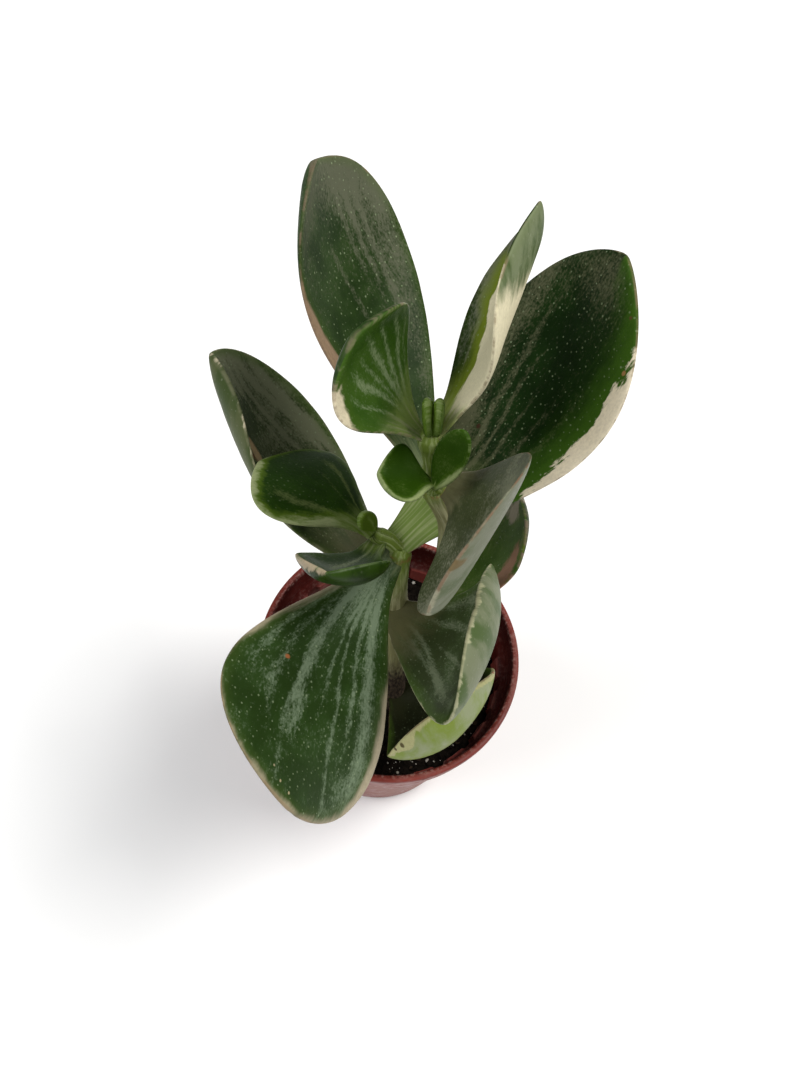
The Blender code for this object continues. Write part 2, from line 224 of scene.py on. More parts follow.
def leaf_finish(name, deep=(9, 27, 4), fresh=(24, 58, 8), wax=(125, 165, 85),
                cream=(600, 530, 370), rim=(200, 145, 85), rim_width=0.16, rim_strength=0.6,
                under=(30, 55, 14), under_dark=(14, 34, 6), stalk=(85, 130, 22),
                stalk_end=0.22, stripes=0.6, streaks=(), haze=0.25, dots=1.0, vivid=(50, 95, 10),
                vivid_share=0.6, vivid_width=2.4, under_cream_end=2.0, spots=(), ragged=0.8, soft=0.2,
                roughness=0.5, specular=0.05, relief=0.14, seed=0.0):
    """A waxy succulent leaf: deep green, silver streaks mixed with painted sheen, pale dots and a cream
    edge.
    """
    made = Finish(name, roughness, specular)
    uv = made.add("ShaderNodeUVMap", uv_map="blade").outputs["UV"]
    fan, along, edge, cream_band, painted_sheen, upper = (made.attribute(key) for key in LEAF_MARKS)

    # Green ground, patchy
    cloud = made.grain(made.place, 170.0, 3.0)
    ground = made.blend(made.rise(cloud, 0.36, 0.66, 0.0, 0.6), deep, fresh)

    # Silver streaks and painted sheen in one pale tint: the sheen patches are painted sheen and the
    # streaks partly so; each streak runs from its stalk end to its tip end, wandering a little
    waver_at = made.join(made.times(fan, 3.0), made.times(along, 7.0), seed)
    waver = made.maths("SUBTRACT", made.grain(waver_at, 1.0, 3.0, 0.6), 0.5)
    wandering = made.plus(fan, made.times(waver, 0.16))
    speck_at = made.join(made.times(fan, 36.0), made.split(uv)[1], seed + 5.0)
    speck = made.plus(made.times(made.grain(speck_at, 1.0, 3.0, 0.65), 0.6),
                      made.times(made.grain(made.place, 2600.0, 2.0), 0.4))
    streak_and_sheen_share = made.plus(painted_sheen, made.times(made.rise(cloud, 0.4, 0.7), haze))
    for streak in streaks:
        fan_start, fan_end, width, strength, start, end = (value / 100.0 for value in streak)
        share = made.rise(along, start, end)
        middle = made.plus(made.times(share, fan_end - fan_start), fan_start)
        away = made.maths("ABSOLUTE", made.maths("SUBTRACT", wandering, middle))
        profile = made.rise(away, 1.35 * width, 0.0, 0.0, strength)
        ends = made.times(made.rise(along, start - 0.08, start + 0.08),
                          made.rise(along, end + 0.12, end - 0.14))
        streak_and_sheen_share = made.plus(streak_and_sheen_share, made.times(profile, ends))
    cover = made.rise(made.plus(speck, made.times(streak_and_sheen_share, 0.36)), 0.56, 0.92)
    # Lays the pale tint of silver streaks and painted sheen over the green
    surface = made.blend(cover, ground, wax)

    # Vivid green beside the cream edge, then the ragged cream edge itself
    rag_at = made.join(made.times(fan, 9.0), made.times(along, 9.0), seed + 11.0)
    rag = made.maths("SUBTRACT", made.grain(rag_at, 1.0, 4.0, 0.62), 0.5)
    reach = made.plus(cream_band, made.times(rag, 2.6 * ragged))
    glow_reach = made.plus(reach, made.times(speck, 1.2))
    glow = made.rise(glow_reach, 0.6 - vivid_width, 0.4, 0.0, vivid_share)
    surface = made.blend(glow, surface, vivid)
    cream_share = made.rise(reach, -soft, soft)
    cream_shade = made.blend(made.rise(speck, 0.35, 0.7), cream, tuple(0.82 * c for c in cream))
    surface = made.blend(cream_share, surface, cream_shade)

    # Pale dots of hardened wax
    dot_gap, dot_tone = made.cells(uv, 0.74)
    dot_size = made.rise(made.split(dot_tone)[0], 0.0, 1.0, 0.045, 0.125)
    dot = made.rise(made.maths("SUBTRACT", dot_size, dot_gap), -0.03, 0.035, 0.0, 0.6 * dots)
    dot = made.times(dot, made.rise(made.split(dot_tone)[1], 0.1, 0.9, 0.2, 1.0))
    dot = made.times(dot, made.rise(cream_share, 0.5, 0.0))
    surface = made.blend(dot, surface, WAX_DOT)

    # Pale stalk with whitish stripes
    stripe_at = made.join(made.times(wandering, 4.5), made.times(along, 1.6), seed + 3.0)
    stripe = made.rise(made.grain(stripe_at, 1.0, 2.0), 0.42, 0.62, 0.0, stripes)
    stalk_shade = made.blend(stripe, stalk, STALK_STRIPE)
    stalk_reach = made.plus(along, made.times(waver, 0.25))
    stalk_share = made.rise(stalk_reach, 0.3 * stalk_end, stalk_end, 1.0, 0.0)
    surface = made.blend(stalk_share, surface, stalk_shade)

    # Underside
    under_at = made.join(made.times(fan, 3.0), made.times(along, 3.5), seed + 7.0)
    under_cloud = made.rise(made.grain(under_at, 1.0, 4.0), 0.42, 0.62)
    below = made.blend(under_cloud, under, under_dark)
    below = made.blend(made.times(dot, 0.7), below, WAX_DOT_BELOW)
    under_reach = made.rise(made.plus(along, made.times(rag, 0.15)), under_cream_end - 0.05,
                            under_cream_end + 0.05, 1.0, 0.0)
    below = made.blend(made.times(cream_share, under_reach), below, cream_shade)
    below = made.blend(stalk_share, below, stalk_shade)
    surface = made.blend(made.rise(upper, -0.10, 0.06), below, surface)

    # Thin dry line at the very edge
    rim_noise = made.grain(made.join(made.times(along, 20.0), fan, seed), 1.0, 4.0, 0.6)
    rim_share = made.times(made.rise(edge, rim_width, 0.2 * rim_width),
                           made.rise(rim_noise, 0.42, 0.6, 0.0, rim_strength))
    surface = made.blend(rim_share, surface, rim)

    # Small scars
    for reach_mm, side_mm, radius_mm, stretch, tint in spots:
        scale = made.add("ShaderNodeVectorMath", operation="MULTIPLY")
        made.feed(scale.inputs[0], uv)
        scale.inputs[1].default_value = (1.0, 1.0 / stretch, 0.0)
        away = made.distance(scale.outputs[0], (side_mm, reach_mm / stretch, 0.0))
        away = made.plus(away, made.times(rag, 1.6 * radius_mm))
        share = made.rise(away, 1.15 * radius_mm, 0.6 * radius_mm, 0.0, 0.9)
        surface = made.blend(share, surface, tint)

    shine = made.rise(made.plus(cover, dot), 0.0, 1.2, roughness - 0.08, roughness + 0.16)
    pits = made.grain(made.place, 1500.0, 2.0)
    height = made.plus(made.times(speck, 0.4), made.times(pits, 0.3))
    return made.finished(surface, shine, made.plus(height, made.times(dot, 0.6)), relief)


def pot_finish():
    """Thin brick-red plastic: painted deep red inside as painted shade, lugs lighter as painted light,
    dusty outside and along the rim.
    """
    made = Finish("dusty_red_plastic", 0.5, 0.15)
    x, _, z = made.split(made.place)
    cloud = made.grain(made.place, 90.0, 4.0)
    outside, rim, lug, lip_edge = (made.attribute(key) for key in POT_MARKS)
    # The inside colour is far darker than the outside one: painted shade inside the pot, also on the
    # inner half of the lip top
    body = made.blend(made.rise(cloud, 0.35, 0.7), (42, 5.5, 4), (88, 12, 9))
    # Lugs are painted a lighter red than the wall between them: painted light on their raised faces
    body = made.blend(made.times(lug, 0.85), body, (200, 40, 31))
    coral = made.blend(made.rise(cloud, 0.4, 0.65), (175, 29, 20), (130, 20, 14))
    surface = made.blend(outside, body, (185, 44, 34))
    surface = made.blend(rim, surface, coral)
    dust_noise = made.grain(made.place, 420.0, 5.0, 0.65)
    dust_cloud = made.grain(made.place, 55.0, 2.0)
    dust = made.rise(made.plus(dust_noise, made.times(dust_cloud, 0.9)), 0.90, 1.14)
    right = made.rise(x, 0.010, 0.024, 0.0, 0.15)
    dusty = made.plus(made.times(rim, made.plus(right, 0.14)), made.times(outside, 0.35))
    marks = made.rise(z, SOIL_LEVEL + 4.0 * MM, SOIL_LEVEL, 0.0, 0.2)
    dusty = made.plus(made.plus(dusty, marks), made.times(lug, 0.15))
    surface = made.blend(made.times(dust, dusty), surface, (340, 225, 195))

    # Flakes and scratches along the inner edge of the rim and the top of the lugs
    flake_noise = made.grain(made.place, 1300.0, 4.0, 0.7)
    flake = made.times(made.rise(flake_noise, 0.50, 0.60), lip_edge)
    surface = made.blend(made.times(flake, 0.5), surface, (300, 200, 170))
    crust = made.times(made.rise(flake_noise, 0.47, 0.40), lip_edge)
    surface = made.blend(made.times(crust, 0.9), surface, (22, 8, 6))
    shine = made.rise(made.plus(dust_noise, made.times(dust, 0.4)), 0.3, 1.0, 0.34, 0.7)
    height = made.plus(made.times(dust_noise, 0.4), made.times(dust, 0.5))
    return made.finished(surface, shine, height, 0.12)


def soil_finish():
    made = Finish("dark_potting_soil", 0.95, 0.05)
    lumps = made.grain(made.place, 900.0, 5.0, 0.65)
    cloud = made.grain(made.place, 210.0, 3.0)
    surface = made.blend(made.rise(lumps, 0.35, 0.7), (3, 2.2, 1.6), (10, 7, 5))
    surface = made.blend(made.rise(cloud, 0.55, 0.75, 0.0, 0.5), surface, (16, 11, 7))
    return made.finished(surface, None, made.plus(lumps, made.times(cloud, 0.5)), 0.5)


def crumb_finish():
    """Peat crumbs and bark, each a little lighter or darker."""
    made = Finish("peat_crumbs", 0.92, 0.08)
    tone = made.attribute("tone")
    lumps = made.grain(made.place, 1600.0, 4.0)
    dark = made.blend(lumps, (3, 2, 1.5), (9, 6, 4))
    light = made.blend(lumps, (16, 10, 6), (45, 29, 18))
    return made.finished(made.blend(made.rise(tone, 0.75, 1.0), dark, light), None, lumps, 0.25)


def perlite_finish():
    made = Finish("perlite", 0.88, 0.2)
    pores = made.grain(made.place, 2400.0, 3.0)
    tone = made.attribute("tone")
    clean = made.blend(pores, (260, 240, 200), (540, 520, 470))
    surface = made.blend(made.rise(tone, 0.3, 1.0, 0.0, 0.6), clean, (220, 190, 150))
    return made.finished(surface, None, pores, 0.15)


def stem_finish():
    """Pale green stem with lengthwise stripes, turning to brown cork at the foot."""
    made = Finish("jade_stem", 0.6, 0.15)
    height = made.split(made.place)[2]
    around, reach, joint, youth = (made.attribute(key) for key in STEM_MARKS)
    stripe_at = made.join(made.times(around, 2.6), made.times(reach, 0.09), 1.0)
    stripe = made.rise(made.grain(stripe_at, 1.0, 3.0, 0.6), 0.44, 0.66)
    rough_noise = made.grain(made.place, 1100.0, 5.0, 0.65)
    tan = made.blend(stripe, (150, 145, 62), (270, 262, 140))
    young = made.blend(stripe, (115, 165, 24), (245, 300, 110))
    green = made.blend(youth, tan, young)
    bark_at = made.join(made.times(around, 5.0), made.times(reach, 0.8), 4.0)
    bark_noise = made.grain(bark_at, 1.0, 5.0, 0.65)
    bark = made.blend(made.rise(bark_noise, 0.35, 0.65), (16, 11, 7), (75, 55, 35))
    uneven = made.times(made.maths("SUBTRACT", bark_noise, 0.5), 14.0 * MM)
    old = made.rise(made.plus(height, uneven), 63.0 * MM, 52.0 * MM)
    surface = made.blend(old, green, bark)
    scar = made.times(made.rise(joint, 0.9, 0.3), made.rise(rough_noise, 0.44, 0.60))
    surface = made.blend(made.times(scar, 0.55), surface, (200, 85, 35))
    shine = made.rise(old, 0.0, 1.0, 0.55, 0.9)
    rough = made.plus(made.times(rough_noise, 0.3), made.times(made.times(bark_noise, old), 1.2))
    return made.finished(surface, shine, made.plus(rough, made.times(stripe, 0.15)), 0.25)


def floor_finish():
    made = Finish("pale_floor", 0.8, 0.2)
    cloud = made.grain(made.place, 6.0, 2.0)
    return made.finished(made.blend(cloud, (860, 860, 855), (900, 900, 895)))


# Shared making

def into_scene(name, form):
    """Turns a bmesh into an object of the scene."""
    mesh = bpy.data.meshes.new(name)
    form.to_mesh(mesh)
    form.free()
    item = bpy.data.objects.new(name, mesh)
    bpy.context.scene.collection.objects.link(item)
    return item


def marked(form, keys):
    """Number layers on a form's corners, one for each key."""
    return [form.verts.layers.float.new(key) for key in keys]


def finish_piece(name, form, material, slot, *nodes):
    """Turns a bmesh into a smooth piece that stands for the named nodes."""
    piece = into_scene(name, form)
    piece.data.materials.append(material)
    piece.data.shade_smooth()
    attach(piece, "root")
    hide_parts(*nodes)
    return piece


def turned(profile, steps):
    """Spins a line of (radius, height) points round the upright axis into a closed form."""
    form = bmesh.new()
    corners = [form.verts.new((radius, 0.0, height)) for radius, height in profile]
    edges = [form.edges.new(pair) for pair in zip(corners, corners[1:])]
    bmesh.ops.spin(form, geom=corners + edges, axis=(0, 0, 1), cent=(0, 0, 0), angle=math.tau,
                   steps=steps, use_merge=True)
    bmesh.ops.remove_doubles(form, verts=form.verts, dist=0.002 * MM)
    bmesh.ops.recalc_face_normals(form, faces=form.faces)
    return form


def smooth_step(value, start, end):
    share = max(0.0, min(1.0, (value - start) / (end - start)))
    return share * share * (3.0 - 2.0 * share)


# Leaves

LEAF_SIDES = 56
LEAF_RINGS = 84
FINE = 160


def outline(t, wide, tip, neck):
    """Half-width of a leaf, as a share of its greatest, at t from stalk to tip."""
    shoulder = wide * tip / (1.0 - wide)
    greatest = wide ** shoulder * (1.0 - wide) ** tip
    body = t ** shoulder * (1.0 - t) ** tip / greatest
    stalk = neck * math.sqrt(1.0 - t) * math.exp(-((t / 0.35) ** 2))
    return math.hypot(body, stalk)


def midrib(base, aim, bend, length):
    """Frames along the leaf: point, right and upward directions.

    aim is heading, rise and roll; bend is curl, sweep and twist, all in degrees.
    """
    turn, lift, roll = (math.radians(angle) for angle in aim)
    curl, sweep, twist = (math.radians(angle) / FINE for angle in bend)
    forward = Vector((math.sin(turn) * math.cos(lift), math.cos(turn) * math.cos(lift),
                      math.sin(lift)))
    right = Vector((math.cos(turn), -math.sin(turn), 0.0))
    face = right.cross(forward)
    face.rotate(Quaternion(forward, roll))
    right = forward.cross(face)
    point = base.copy()
    frames = [(point.copy(), right.copy(), face.copy())]
    for _ in range(FINE):
        forward.rotate(Quaternion(right, curl))
        face = right.cross(forward)
        forward.rotate(Quaternion(face, -sweep))
        right = forward.cross(face)
        face.rotate(Quaternion(forward, twist))
        right = forward.cross(face)
        forward.normalize()
        right.normalize()
        face.normalize()
        point = point + forward * (length / FINE)
        frames.append((point.copy(), right.copy(), face.copy()))
    return frames


def in_shares(rows):
    """Rows of per cents as rows of shares of one."""
    return [[value / 100.0 for value in row] for row in rows]


def band_width(stops, t):
    """Width of the cream edge in millimetres at t, between (per cent, width) stops."""
    if 100.0 * t <= stops[0][0]:
        return stops[0][1]
    for (start, first), (end, last) in zip(stops, stops[1:]):
        if t <= end / 100.0:
            return first + (last - first) * smooth_step(t, start / 100.0, end / 100.0)
    return stops[-1][1]


THIN_EDGE = ((0, -0.6), (30, -0.3), (100, -0.1))


def leaf(name, node, base, aim, bend, size, cups, shape, seed, neck=0.2, thick=2.0,
         cream_left=THIN_EDGE, cream_right=THIN_EDGE, cream_from=(), painted_sheen=(), wave=0.12,
         root=0.0, slot="leaf", sides=LEAF_SIDES, rings=LEAF_RINGS, material=None,
         skin_seed=None, **skin):
    """A fleshy leaf, made by shaping a sphere along a curved midrib.

    size is its length and half-width in millimetres, cups the bend of its left and right
    halves in degrees, and shape where it is widest and how blunt its tip is. Its stalk
    reaches root millimetres further back, into the stem. skin is the settings of its finish.
    """
    if material is None:
        skin_seed = seed if skin_seed is None else skin_seed
        material = leaf_finish(name + "_skin", seed=skin_seed, **skin)
    length, half_width = size

    def half(t):
        return half_width * outline(t, *shape, neck)

    frames = midrib(mm(*base), aim, bend, length * MM)
    widths = [half(step / FINE) for step in range(FINE + 1)]
    widest = [max(widths[:step + 1]) for step in range(FINE + 1)]
    backward = (frames[0][0] - frames[4][0]).normalized() * root * MM
    painted_sheen = in_shares(painted_sheen)
    form = bmesh.new()
    bmesh.ops.create_uvsphere(form, u_segments=sides, v_segments=rings, radius=1.0)
    layers = marked(form, LEAF_MARKS)
    flat = {}
    for corner in form.verts:
        x, y, z = corner.co
        pole = math.acos(max(-1.0, min(1.0, -z)))
        t = 0.3 * pole / math.pi + 0.7 * (1.0 - math.cos(pole)) / 2.0
        t = max(0.0, min(1.0, t))
        ring = math.hypot(x, y)
        at_pole = ring < 1e-6
        across = 0.0 if at_pole else x / ring
        above = 0.0 if at_pole else y / ring
        step = min(int(t * FINE), FINE - 1)
        share = t * FINE - step
        point, right, face = (start.lerp(end, share)
                              for start, end in zip(frames[step], frames[step + 1]))
        width = half(t)
        slope = (half(min(1.0, t + 0.005)) - width) / (0.005 * length)
        inward = (width - width * abs(across)) / math.hypot(1.0, slope)
        ripple = noise.noise(Vector((9.0 * t, 2.0 * across, seed)))
        rumple = noise.noise(Vector((4.5 * t, 1.6 * across, seed + 9.0)))
        free = smooth_step(t, 0.1, 0.4)
        point = point + backward * (1.0 - smooth_step(t, 0.0, 0.16))
        if root:
            width *= 0.62 + 0.38 * smooth_step(t, 0.0, 0.14)
        reach = width * MM * (1.0 + 0.008 * ripple * free)
        cup = math.radians(cups[across > 0])
        angle = cup * abs(across)
        side = math.copysign(1.0, across)
        lateral = side * reach * math.sin(angle) / cup
        rise_up = reach * (1.0 - math.cos(angle)) / cup
        normal = face * math.cos(angle) - right * side * math.sin(angle)
        body = min(1.0, 1.6 * width / half_width) ** 0.5
        swell = thick * MM / 2.0 * body * math.copysign(abs(above) ** 0.85, above)
        if at_pole:
            swell = 0.0
        swell += wave * MM * (rumple + 0.5 * ripple * abs(across)) * free
        corner.co = point + right * lateral + face * rise_up + normal * swell

        # Marks for the finish: place across and along, millimetres from the edge, cream, painted sheen
        across_mm = across * width
        fan_width = widest[step] + (widest[step + 1] - widest[step]) * share
        if cream_from:
            cream = across_mm - band_width(cream_from, t) / 100.0 * fan_width
        else:
            stops, other = (cream_right, cream_left) if across > 0 else (cream_left, cream_right)
            middle = smooth_step(abs(across), 0.0, 0.25)
            band = band_width(stops, t)
            cream = band + (0.5 - 0.5 * middle) * (band_width(other, t) - band) - inward
        # Painted sheen: soft patches of sheen and highlight, summed and capped at one
        glow = min(1.0, sum(
            strength * math.exp(-((t - t0) / size_t) ** 2 - ((across - a0) / size_a) ** 2)
            for t0, a0, size_t, size_a, strength in painted_sheen
        ))
        values = (across_mm / max(fan_width, 0.01), t, inward, cream, glow, above)
        for layer, value in zip(layers, values):
            corner[layer] = value
        flat[corner] = (across_mm, t * length)
    uv = form.loops.layers.uv.new("blade")
    for polygon in form.faces:
        for loop in polygon.loops:
            loop[uv].uv = flat[loop.vert]
    bmesh.ops.recalc_face_normals(form, faces=form.faces)
    return finish_piece(name, form, material, slot, node)


def build_leaves():
    """The leaves, in pairs that stand crosswise up each stem."""
    leaf(
        "lowest_leaf", "leaf_soil_front_right", (2.3, -6.4, 44.9), (125, 3, 22), (116, -18, -20),
        (38, 14.3), (26, 58), (0.6, 0.58), 1, root=1,
        cream_right=((0, -1), (55, -0.4), (70, 1), (80, 2.2), (90, 0.6), (100, 0.1)),
        # Its upper face and stalk are coloured near black: painted shade in the hollow of the cupped
        # leaf, which lies under the leaf above
        cream_left=((0, -1), (60, -0.2), (82, 1), (100, 0.3)), deep=(5, 6, 2), fresh=(10, 12, 4),
        stalk=(10, 11, 4), stripes=0, haze=0, dots=0.3, under=(165, 220, 38), under_dark=(240, 270, 150),
        cream=(360, 350, 170), rim=(100, 50, 30),
        spots=(
            (30.2, 11.6, 0.45, 1.5, (50, 35, 12)), (28.3, 13, 0.3, 1.3, (50, 30, 12)),
            (31.6, -12, 0.5, 2.6, (240, 70, 40)),
        ),
    )
    leaf(
        "front_right_leaf", "leaf_front_right", (-1, -3.7, 77.5), (123, -3, 15), (123, -35, 15),
        (41, 13.6), (30, 16), (0.64, 0.58), 2, neck=0.28, root=1.4, painted_sheen=((8, 0, 12, 90, 30),),
        cream_left=((0, -1), (30, -0.2), (55, 0.1), (100, 0.1)),
        cream_right=((0, -1), (30, -0.2), (60, 0.1), (100, 0.1)), deep=(28, 40, 12), fresh=(42, 72, 19),
        wax=(125, 150, 86), haze=0.6, dots=0.6, stalk=(78, 76, 32), stripes=0, stalk_end=0.27,
        under=(160, 180, 105), under_dark=(70, 105, 36), cream=(380, 380, 230), rim=(300, 290, 170),
        ragged=1,
        streaks=(
            (-80, -70, 16, 60, 5, 100), (5, 62, 10, 80, 8, 50), (42, 75, 9, 60, 15, 62),
            (-40, -25, 9, 50, 15, 62), (10, 35, 5, 50, 30, 70),
        ),
    )
    leaf(
        "left_leaf", "leaf_left", (-0.8, 0.5, 79), (-54.5, 1, -17), (65.5, -14.5, 65.5), (54, 13.4),
        (54.5, 54), (0.67, 0.6), 3, root=1.4, painted_sheen=((75, 65, 50, 50, 65), (98, 0, 8, 100, 50)),
        deep=(28, 44, 12), fresh=(52, 70, 23), wax=(140, 150, 88), haze=0.5, dots=0.7, under=(75, 90, 36),
        under_dark=(45, 66, 20), stalk=(95, 92, 48), stripes=0, stalk_end=0.36, rim=(160, 160, 90),
        rim_width=0.5, rim_strength=0.7,
        streaks=(
            (85, 40, 5, 80, 45, 100), (72, 70, 5, 70, 30, 85), (95, 62, 6, 80, 35, 100),
            (50, 30, 5, 50, 35, 95), (30, 15, 4, 40, 50, 100),
        ),
        spots=((36, -4.4, 1.5, 2.4, (360, 250, 130)), (37.5, -6.4, 0.6, 3.4, (160, 45, 20))),
    )
    leaf(
        "front_left_leaf", "leaf_front_left", (-1.6, 1.6, 92.6), (-156, -17.5, -13), (47, -9.5, -42.5),
        (47.9, 16.8), (-16, -2), (0.72, 0.66), 4, root=0.8, painted_sheen=((20, 15, 12, 60, 90),),
        cream_left=((0, -1), (40, 0), (50, 1.5), (62, 2.3), (74, 2.2), (84, 1.4), (92, 0.5), (100, 0.2)),
        cream_right=((0, 0.2), (25, 0.5), (50, 0.4), (65, -0.3), (80, -0.3), (100, 0.1)),
        deep=(15, 33, 6), fresh=(26, 56, 12), wax=(135, 180, 110), haze=0.3, dots=0.8,
        cream=(350, 300, 200), rim=(270, 190, 110), soft=0.8, stalk=(100, 130, 60), stripes=0.3,
        stalk_end=0.12, vivid=(45, 75, 12), vivid_share=0.4,
        streaks=(
            (45, 22, 10, 75, 15, 78), (64, 50, 8, 45, 32, 80), (-5, -30, 4.5, 60, 20, 100),
            (-22, -42, 6, 60, 20, 74), (-45, -74, 14, 80, 15, 98), (6, 0, 4, 60, 25, 62),
            (84, 80, 7, 60, 20, 60), (30, 34, 5, 40, 55, 98), (-55, -30, 16, 35, 78, 110),
        ),
        spots=(
            (26.8, 7.6, 0.5, 0.8, (300, 100, 35)), (46.1, 2.4, 0.2, 1.2, (360, 300, 170)),
            (45.2, 4.4, 0.18, 1.2, (360, 300, 170)), (43.6, 6, 0.18, 1.2, (320, 270, 160)),
        ),
        skin_seed=4.3,
    )
    leaf(
        "right_leaf", "leaf_right", (-2, 1.2, 92.6), (41, 22, -4), (52, 12, -21), (58.2, 14.9), (19, 2),
        (0.645, 0.72), 5, neck=0.27, root=2.6, painted_sheen=((94, -20, 10, 100, 70), (30, -30, 14, 80, 50)),
        cream_left=((0, -7),),
        cream_right=(
            (0, -7), (30, -1.2), (38, 0.4), (46, 1.6), (60, 2.9), (72, 2.4), (80, 1.3), (85, 0.1),
            (90, -0.9), (100, -2),
        ),
        deep=(4.8, 16, 2), fresh=(10, 32, 3.8), wax=(88, 92, 48), haze=0.15, dots=0.9, ragged=1.9,
        stalk=(88, 132, 26), stripes=0.5, vivid=(40, 98, 8), vivid_share=0.9, vivid_width=6.5,
        cream=(760, 670, 500), stalk_end=0.36,
        streaks=(
            (-60, -80, 22, 75, 30, 92), (-24, -46, 7, 65, 24, 80), (-2, -24, 5, 60, 26, 66),
            (16, 2, 4, 50, 30, 60), (38, 30, 5, 50, 28, 62), (56, 50, 6, 45, 36, 66),
        ),
        spots=(
            (53, 7.4, 0.35, 1.2, (90, 45, 22)), (46.6, 11.6, 0.3, 1.4, (300, 160, 60)),
            (23.3, -4.2, 0.4, 1, (45, 18, 10)),
        ),
    )
    leaf(
        "side_front_leaf", "leaf_side_front", (-4.8, -0.1, 94.3), (-164, 9, 15.5), (67, -12, 4.5),
        (22.8, 8.2), (57, 46), (0.66, 0.87), 6, neck=0.32, thick=1.7, root=0.8,
        painted_sheen=((5, -90, 22, 50, 100),),
        cream_right=((0, -1), (60, -0.5), (72, 0), (88, 0.7), (97, 0.2), (100, 0)),
        cream_left=((0, -1), (100, -0.6)), deep=(13, 30, 5), fresh=(22, 48, 9), wax=(160, 190, 110),
        haze=0.2, dots=0.2, cream=(360, 290, 190), under=(20, 46, 3), under_dark=(10, 26, 1),
        streaks=((20, 35, 14, 70, 10, 60),), stripes=0.5, rim=(80, 120, 40), specular=0.15,
        roughness=0.46,
    )
    leaf(
        "side_left_leaf", "leaf_side_left", (-6.7, 0.1, 97.2), (-61.5, 20.5, 16.5), (-28, -7, 18),
        (21.3, 12.1), (1.5, -4), (0.646, 0.8), 7, thick=1.7, root=1,
        cream_left=((0, 0.4), (30, 1.2), (45, 0.8), (60, 0), (75, 0.3), (90, 1.1), (100, 1.2)),
        cream_right=((0, -1.6), (40, -0.6), (80, -0.2), (100, 0.4)), deep=(10, 29, 2), fresh=(19, 50, 4),
        wax=(85, 115, 35), haze=0.1, dots=0.3, cream=(280, 320, 150), soft=0.7, ragged=1.4, specular=0.02,
        vivid=(75, 125, 12), vivid_share=0.9, rim=(200, 240, 100), stalk=(90, 140, 20), stripes=0.3,
        stalk_end=0.26,
        streaks=((42, 62, 9, 90, 12, 62), (-45, -55, 12, 90, 10, 72), (10, 30, 5, 40, 20, 60)),
    )
    leaf(
        "low_right_leaf", "leaf_low_right", (6.2, -0.7, 80.2), (51.5, 19, -12.5), (43.5, -15.5, -19),
        (24.2, 12.3), (27, 31), (0.625, 0.56), 8, neck=0.12, wave=0.3, root=1.2, cream_left=((0, -7),),
        cream_right=((0, -5), (55, -4), (68, -0.5), (80, -0.5), (90, -4), (100, -6)), deep=(40, 80, 10),
        fresh=(66, 128, 19), wax=(120, 150, 50), haze=0.4, rim=(170, 130, 90), rim_width=0.5,
        rim_strength=0.9, vivid=(110, 145, 22), vivid_share=0.9,
        spots=((21.2, 3.2, 2.3, 1, (340, 290, 220)), (12.8, 9.8, 2.1, 2.4, (310, 160, 104))),
    )
    leaf(
        "back_left_leaf", "leaf_back_left", (2.2, 2.7, 110.3), (-34, 1, 7), (59, -27, 38), (51, 14.8),
        (30, 33), (0.73, 0.44), 9, root=2,
        painted_sheen=((98, 20, 12, 130, 100), (86, 60, 26, 50, 42), (85, -90, 15, 30, 50)),
        cream_left=((0, -1), (30, 0.4), (45, 2.2), (55, 1.7), (66, 0.3), (74, -0.4), (100, -0.8)),
        deep=(12, 28, 5), fresh=(30, 60, 13), wax=(98, 106, 66), ragged=0.5, soft=0.4,
        cream=(270, 185, 115), rim=(160, 110, 75), vivid_share=0.3, stalk=(100, 130, 60),
        streaks=(
            (66, 46, 7, 50, 45, 100), (85, 80, 22, 46, 15, 98), (12, -14, 5, 50, 50, 78),
            (45, 28, 6, 50, 60, 100), (30, 10, 5, 40, 65, 100),
        ),
    )
    leaf(
        "front_leaf", "leaf_front", (4.2, 2.3, 110.6), (131, 34.5, 32.5), (58, 68.5, 22.5), (32.2, 14.3),
        (5.5, 19), (0.645, 0.85), 10, thick=1.4, root=2.4, painted_sheen=((92, 0, 42, 200, 90),),
        cream_left=((0, -1), (40, -0.4), (80, -0.15), (100, 0.3)),
        cream_right=((0, -1), (40, -0.4), (80, -0.15), (100, 0.3)), deep=(40, 50, 19), fresh=(58, 68, 29),
        wax=(190, 195, 130), haze=0.4, dots=0.3, rim=(170, 105, 65), rim_width=0.22, rim_strength=0.8,
        under=(160, 172, 118), under_dark=(100, 122, 66), cream=(300, 290, 200), ragged=0.5,
        vivid_share=0, stalk=(150, 142, 75), stripes=0.1, stalk_end=0.24,
        spots=((29.5, -7.5, 0.8, 2.6, (140, 100, 45)),),
    )
    young = dict(
        deep=(15, 41, 1.6), fresh=(23, 56, 3), haze=0.5, dots=0, wax=(60, 95, 20), rim=(140, 190, 70),
        rim_width=0.14, under=(45, 95, 10), under_dark=(26, 64, 5), vivid=(50, 100, 8), soft=0.35,
        vivid_share=0.5, vivid_width=1, ragged=0.3, cream=(240, 290, 120), stripes=0.2, stalk_end=0.1,
        specular=0.03, relief=0.06,
    )
    leaf(
        "shoot_left_leaf", "leaf_shoot_left", (1.5, -1.5, 115.5), (-108, 14.5, 5), (14, 8, -18),
        (8.2, 5.2), (51, 43), (0.58, 0.77), 11, thick=1.3, root=0.8, slot="young_leaf", sides=40,
        rings=40, wave=0.05, cream_left=((0, 0.3), (40, 0.7), (70, 0.1), (85, 0.1), (100, 0.3)),
        cream_right=((0, -1), (70, -0.8), (85, -0.2), (100, 0.3)), **young,
    )
